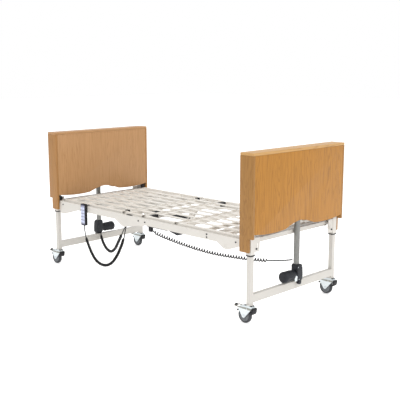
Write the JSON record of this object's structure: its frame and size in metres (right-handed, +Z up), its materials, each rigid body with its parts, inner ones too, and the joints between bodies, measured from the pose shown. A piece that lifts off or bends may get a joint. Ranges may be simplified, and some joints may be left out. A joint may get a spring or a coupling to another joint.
{
  "type": "adjustable hospital bed",
  "caption": "Height adjustable homecare bed with oak end boards, profiling slatted platform, castors and wired handset.",
  "frame": {"origin": "on the floor, under the middle of the bed's footprint", "axes": "+X towards the foot end, -Y towards the side that holds the handset, +Z up"},
  "size_m": [2.205, 0.9465, 1.067],
  "materials": {
    "powder_coat": "satin cream powder coat",
    "black_plastic": "moulded, fine grain",
    "board_oak": "satin lacquered oak veneer",
    "trim_oak": "satin lacquered oak lipping",
    "drive_shell": "moulded, fine grain",
    "bright_steel": "bright plated",
    "grey_tube": "satin anodised",
    "zinc_fork": "bright zinc plated",
    "castor_wheel": "grey tread on a grey moulded hub",
    "brake_lever": "satin dark grey",
    "handset_shell": "fine grain",
    "key_plastic": "soft gloss",
    "cord_jacket": "matt"
  },
  "bodies": {
    "foot_legs": {"foot_leg_frame": "powder_coat", "foot_lift_motor": "drive_shell", "foot_lift_column": "grey_tube"},
    "deck": {"head_chassis": "powder_coat", "foot_chassis": "powder_coat", "head_carriage": "powder_coat", "foot_carriage": "powder_coat", "sleeve_bushes": "black_plastic", "head_board_panels": "board_oak", "head_board_trim": "trim_oak", "foot_board_panels": "board_oak", "foot_board_trim": "trim_oak", "control_box": "drive_shell", "rail_fasteners": "black_plastic", "hinge_pins": "bright_steel", "seat_section": "powder_coat", "backrest_drive": "drive_shell", "knee_drive": "drive_shell", "head_lift_rod": "bright_steel", "foot_lift_rod": "bright_steel", "handset_front": "handset_shell", "handset_back": "handset_shell", "handset_cord": "cord_jacket", "head_motor_cord": "cord_jacket", "foot_motor_cord": "cord_jacket", "cord_plugs": "black_plastic"},
    "head_legs": {"head_leg_frame": "powder_coat", "head_lift_motor": "drive_shell", "head_lift_column": "grey_tube"},
    "backrest": {"backrest_section": "powder_coat"},
    "backrest_push_rod": {"backrest_rod": "bright_steel"},
    "thigh_rest": {"thigh_section": "powder_coat"},
    "calf_rest": {"calf_section": "powder_coat"},
    "knee_push_rod": {"knee_rod": "bright_steel"},
    "castor_foot_near": {"fork_foot_near": "zinc_fork"},
    "castor_wheel_foot_near": {"wheel_foot_near": "castor_wheel"},
    "brake_pedal_foot_near": {"brake_foot_near": "brake_lever"},
    "castor_foot_far": {"fork_foot_far": "zinc_fork"},
    "castor_wheel_foot_far": {"wheel_foot_far": "castor_wheel"},
    "brake_pedal_foot_far": {"brake_foot_far": "brake_lever"},
    "castor_head_near": {"fork_head_near": "zinc_fork"},
    "castor_wheel_head_near": {"wheel_head_near": "castor_wheel"},
    "brake_pedal_head_near": {"brake_head_near": "brake_lever"},
    "castor_head_far": {"fork_head_far": "zinc_fork"},
    "castor_wheel_head_far": {"wheel_head_far": "castor_wheel"},
    "brake_pedal_head_far": {"brake_head_far": "brake_lever"},
    "clamp_knob_head_near": {"knob_head_near": "black_plastic"},
    "clamp_knob_head_far": {"knob_head_far": "black_plastic"},
    "clamp_knob_foot_near": {"knob_foot_near": "black_plastic"},
    "clamp_knob_foot_far": {"knob_foot_far": "black_plastic"},
    "button_back_up": {"key_back_up": "key_plastic"},
    "button_back_down": {"key_back_down": "key_plastic"},
    "button_knee_up": {"key_knee_up": "key_plastic"},
    "button_knee_down": {"key_knee_down": "key_plastic"},
    "button_chair_up": {"key_chair_up": "key_plastic"},
    "button_chair_down": {"key_chair_down": "key_plastic"},
    "button_height_up": {"key_height_up": "key_plastic"},
    "button_height_down": {"key_height_down": "key_plastic"},
    "button_lock_on": {"key_lock_on": "key_plastic"},
    "button_lock_off": {"key_lock_off": "key_plastic"}
  },
  "joints": [
    {"name": "deck_lift", "type": "slide", "parent": "foot_legs", "child": "deck", "axis": [0, 0, 1], "range_m": [-0.13, 0.27], "deforming": ["foot_motor_cord"]},
    {"name": "head_lift", "type": "slide", "parent": "deck", "child": "head_legs", "axis": [0, 0, -1], "range_m": [-0.13, 0.27], "deforming": ["head_motor_cord"]},
    {"name": "backrest_lift", "type": "hinge", "parent": "deck", "child": "backrest", "pos_m": [-0.1645, 0, 0.5275], "axis": [0, 1, 0], "range_deg": [0, 70]},
    {"name": "backrest_push", "type": "slide", "parent": "deck", "child": "backrest_push_rod", "axis": [-1, 0, 0], "range_m": [0, 0.1195]},
    {"name": "knee_lift", "type": "hinge", "parent": "deck", "child": "thigh_rest", "pos_m": [0.0505, 0, 0.5275], "axis": [0, -1, 0], "range_deg": [0, 30]},
    {"name": "calf_fold", "type": "hinge", "parent": "thigh_rest", "child": "calf_rest", "pos_m": [0.3855, 0, 0.5275], "axis": [0, 1, 0], "range_deg": [0, 46.5]},
    {"name": "knee_push", "type": "slide", "parent": "deck", "child": "knee_push_rod", "axis": [1, 0, 0], "range_m": [0, 0.046]},
    {"name": "swivel_foot_near", "type": "hinge", "parent": "foot_legs", "child": "castor_foot_near", "pos_m": [1.0525, -0.43, 0.11], "axis": [0, 0, 1], "continuous": true},
    {"name": "roll_foot_near", "type": "hinge", "parent": "castor_foot_near", "child": "castor_wheel_foot_near", "pos_m": [1.0165, -0.43, 0.05], "axis": [0, 1, 0], "continuous": true},
    {"name": "brake_foot_near", "type": "hinge", "parent": "castor_foot_near", "child": "brake_pedal_foot_near", "pos_m": [1.0465, -0.43, 0.1], "axis": [0, -1, 0], "range_deg": [0, 10]},
    {"name": "swivel_foot_far", "type": "hinge", "parent": "foot_legs", "child": "castor_foot_far", "pos_m": [1.0525, 0.43, 0.11], "axis": [0, 0, 1], "continuous": true},
    {"name": "roll_foot_far", "type": "hinge", "parent": "castor_foot_far", "child": "castor_wheel_foot_far", "pos_m": [1.0165, 0.43, 0.05], "axis": [0, 1, 0], "continuous": true},
    {"name": "brake_foot_far", "type": "hinge", "parent": "castor_foot_far", "child": "brake_pedal_foot_far", "pos_m": [1.0465, 0.43, 0.1], "axis": [0, -1, 0], "range_deg": [0, 10]},
    {"name": "swivel_head_near", "type": "hinge", "parent": "head_legs", "child": "castor_head_near", "pos_m": [-0.9815, -0.43, 0.11], "axis": [0, 0, 1], "continuous": true},
    {"name": "roll_head_near", "type": "hinge", "parent": "castor_head_near", "child": "castor_wheel_head_near", "pos_m": [-1.0175, -0.43, 0.05], "axis": [0, 1, 0], "continuous": true},
    {"name": "brake_head_near", "type": "hinge", "parent": "castor_head_near", "child": "brake_pedal_head_near", "pos_m": [-0.9875, -0.43, 0.1], "axis": [0, -1, 0], "range_deg": [0, 10]},
    {"name": "swivel_head_far", "type": "hinge", "parent": "head_legs", "child": "castor_head_far", "pos_m": [-0.9815, 0.43, 0.11], "axis": [0, 0, 1], "continuous": true},
    {"name": "roll_head_far", "type": "hinge", "parent": "castor_head_far", "child": "castor_wheel_head_far", "pos_m": [-1.0175, 0.43, 0.05], "axis": [0, 1, 0], "continuous": true},
    {"name": "brake_head_far", "type": "hinge", "parent": "castor_head_far", "child": "brake_pedal_head_far", "pos_m": [-0.9875, 0.43, 0.1], "axis": [0, -1, 0], "range_deg": [0, 10]},
    {"name": "turn_knob_head_near", "type": "hinge", "parent": "deck", "child": "clamp_knob_head_near", "pos_m": [-0.9485, -0.43, 0.548], "axis": [1, 0, 0], "continuous": true},
    {"name": "turn_knob_head_far", "type": "hinge", "parent": "deck", "child": "clamp_knob_head_far", "pos_m": [-0.9485, 0.43, 0.548], "axis": [1, 0, 0], "continuous": true},
    {"name": "turn_knob_foot_near", "type": "hinge", "parent": "deck", "child": "clamp_knob_foot_near", "pos_m": [1.0195, -0.43, 0.548], "axis": [1, 0, 0], "continuous": true},
    {"name": "turn_knob_foot_far", "type": "hinge", "parent": "deck", "child": "clamp_knob_foot_far", "pos_m": [1.0195, 0.43, 0.548], "axis": [1, 0, 0], "continuous": true},
    {"name": "press_back_up", "type": "slide", "parent": "deck", "child": "button_back_up", "axis": [0, 1, 0], "range_m": [0, 0.001], "stiffness_N_per_m": 400},
    {"name": "press_back_down", "type": "slide", "parent": "deck", "child": "button_back_down", "axis": [0, 1, 0], "range_m": [0, 0.001], "stiffness_N_per_m": 400},
    {"name": "press_knee_up", "type": "slide", "parent": "deck", "child": "button_knee_up", "axis": [0, 1, 0], "range_m": [0, 0.001], "stiffness_N_per_m": 400},
    {"name": "press_knee_down", "type": "slide", "parent": "deck", "child": "button_knee_down", "axis": [0, 1, 0], "range_m": [0, 0.001], "stiffness_N_per_m": 400},
    {"name": "press_chair_up", "type": "slide", "parent": "deck", "child": "button_chair_up", "axis": [0, 1, 0], "range_m": [0, 0.001], "stiffness_N_per_m": 400},
    {"name": "press_chair_down", "type": "slide", "parent": "deck", "child": "button_chair_down", "axis": [0, 1, 0], "range_m": [0, 0.001], "stiffness_N_per_m": 400},
    {"name": "press_height_up", "type": "slide", "parent": "deck", "child": "button_height_up", "axis": [0, 1, 0], "range_m": [0, 0.001], "stiffness_N_per_m": 400},
    {"name": "press_height_down", "type": "slide", "parent": "deck", "child": "button_height_down", "axis": [0, 1, 0], "range_m": [0, 0.001], "stiffness_N_per_m": 400},
    {"name": "press_lock_on", "type": "slide", "parent": "deck", "child": "button_lock_on", "axis": [0, 1, 0], "range_m": [0, 0.001], "stiffness_N_per_m": 400},
    {"name": "press_lock_off", "type": "slide", "parent": "deck", "child": "button_lock_off", "axis": [0, 1, 0], "range_m": [0, 0.001], "stiffness_N_per_m": 400}
  ],
  "couplings": [
    {"joint": "head_lift", "follows": "deck_lift", "ratio": 1},
    {"joint": "backrest_push", "follows": "backrest_lift", "m_per_rad": 0.0974},
    {"joint": "calf_fold", "follows": "knee_lift", "ratio": 1.54},
    {"joint": "knee_push", "follows": "knee_lift", "m_per_rad": 0.087}
  ]
}
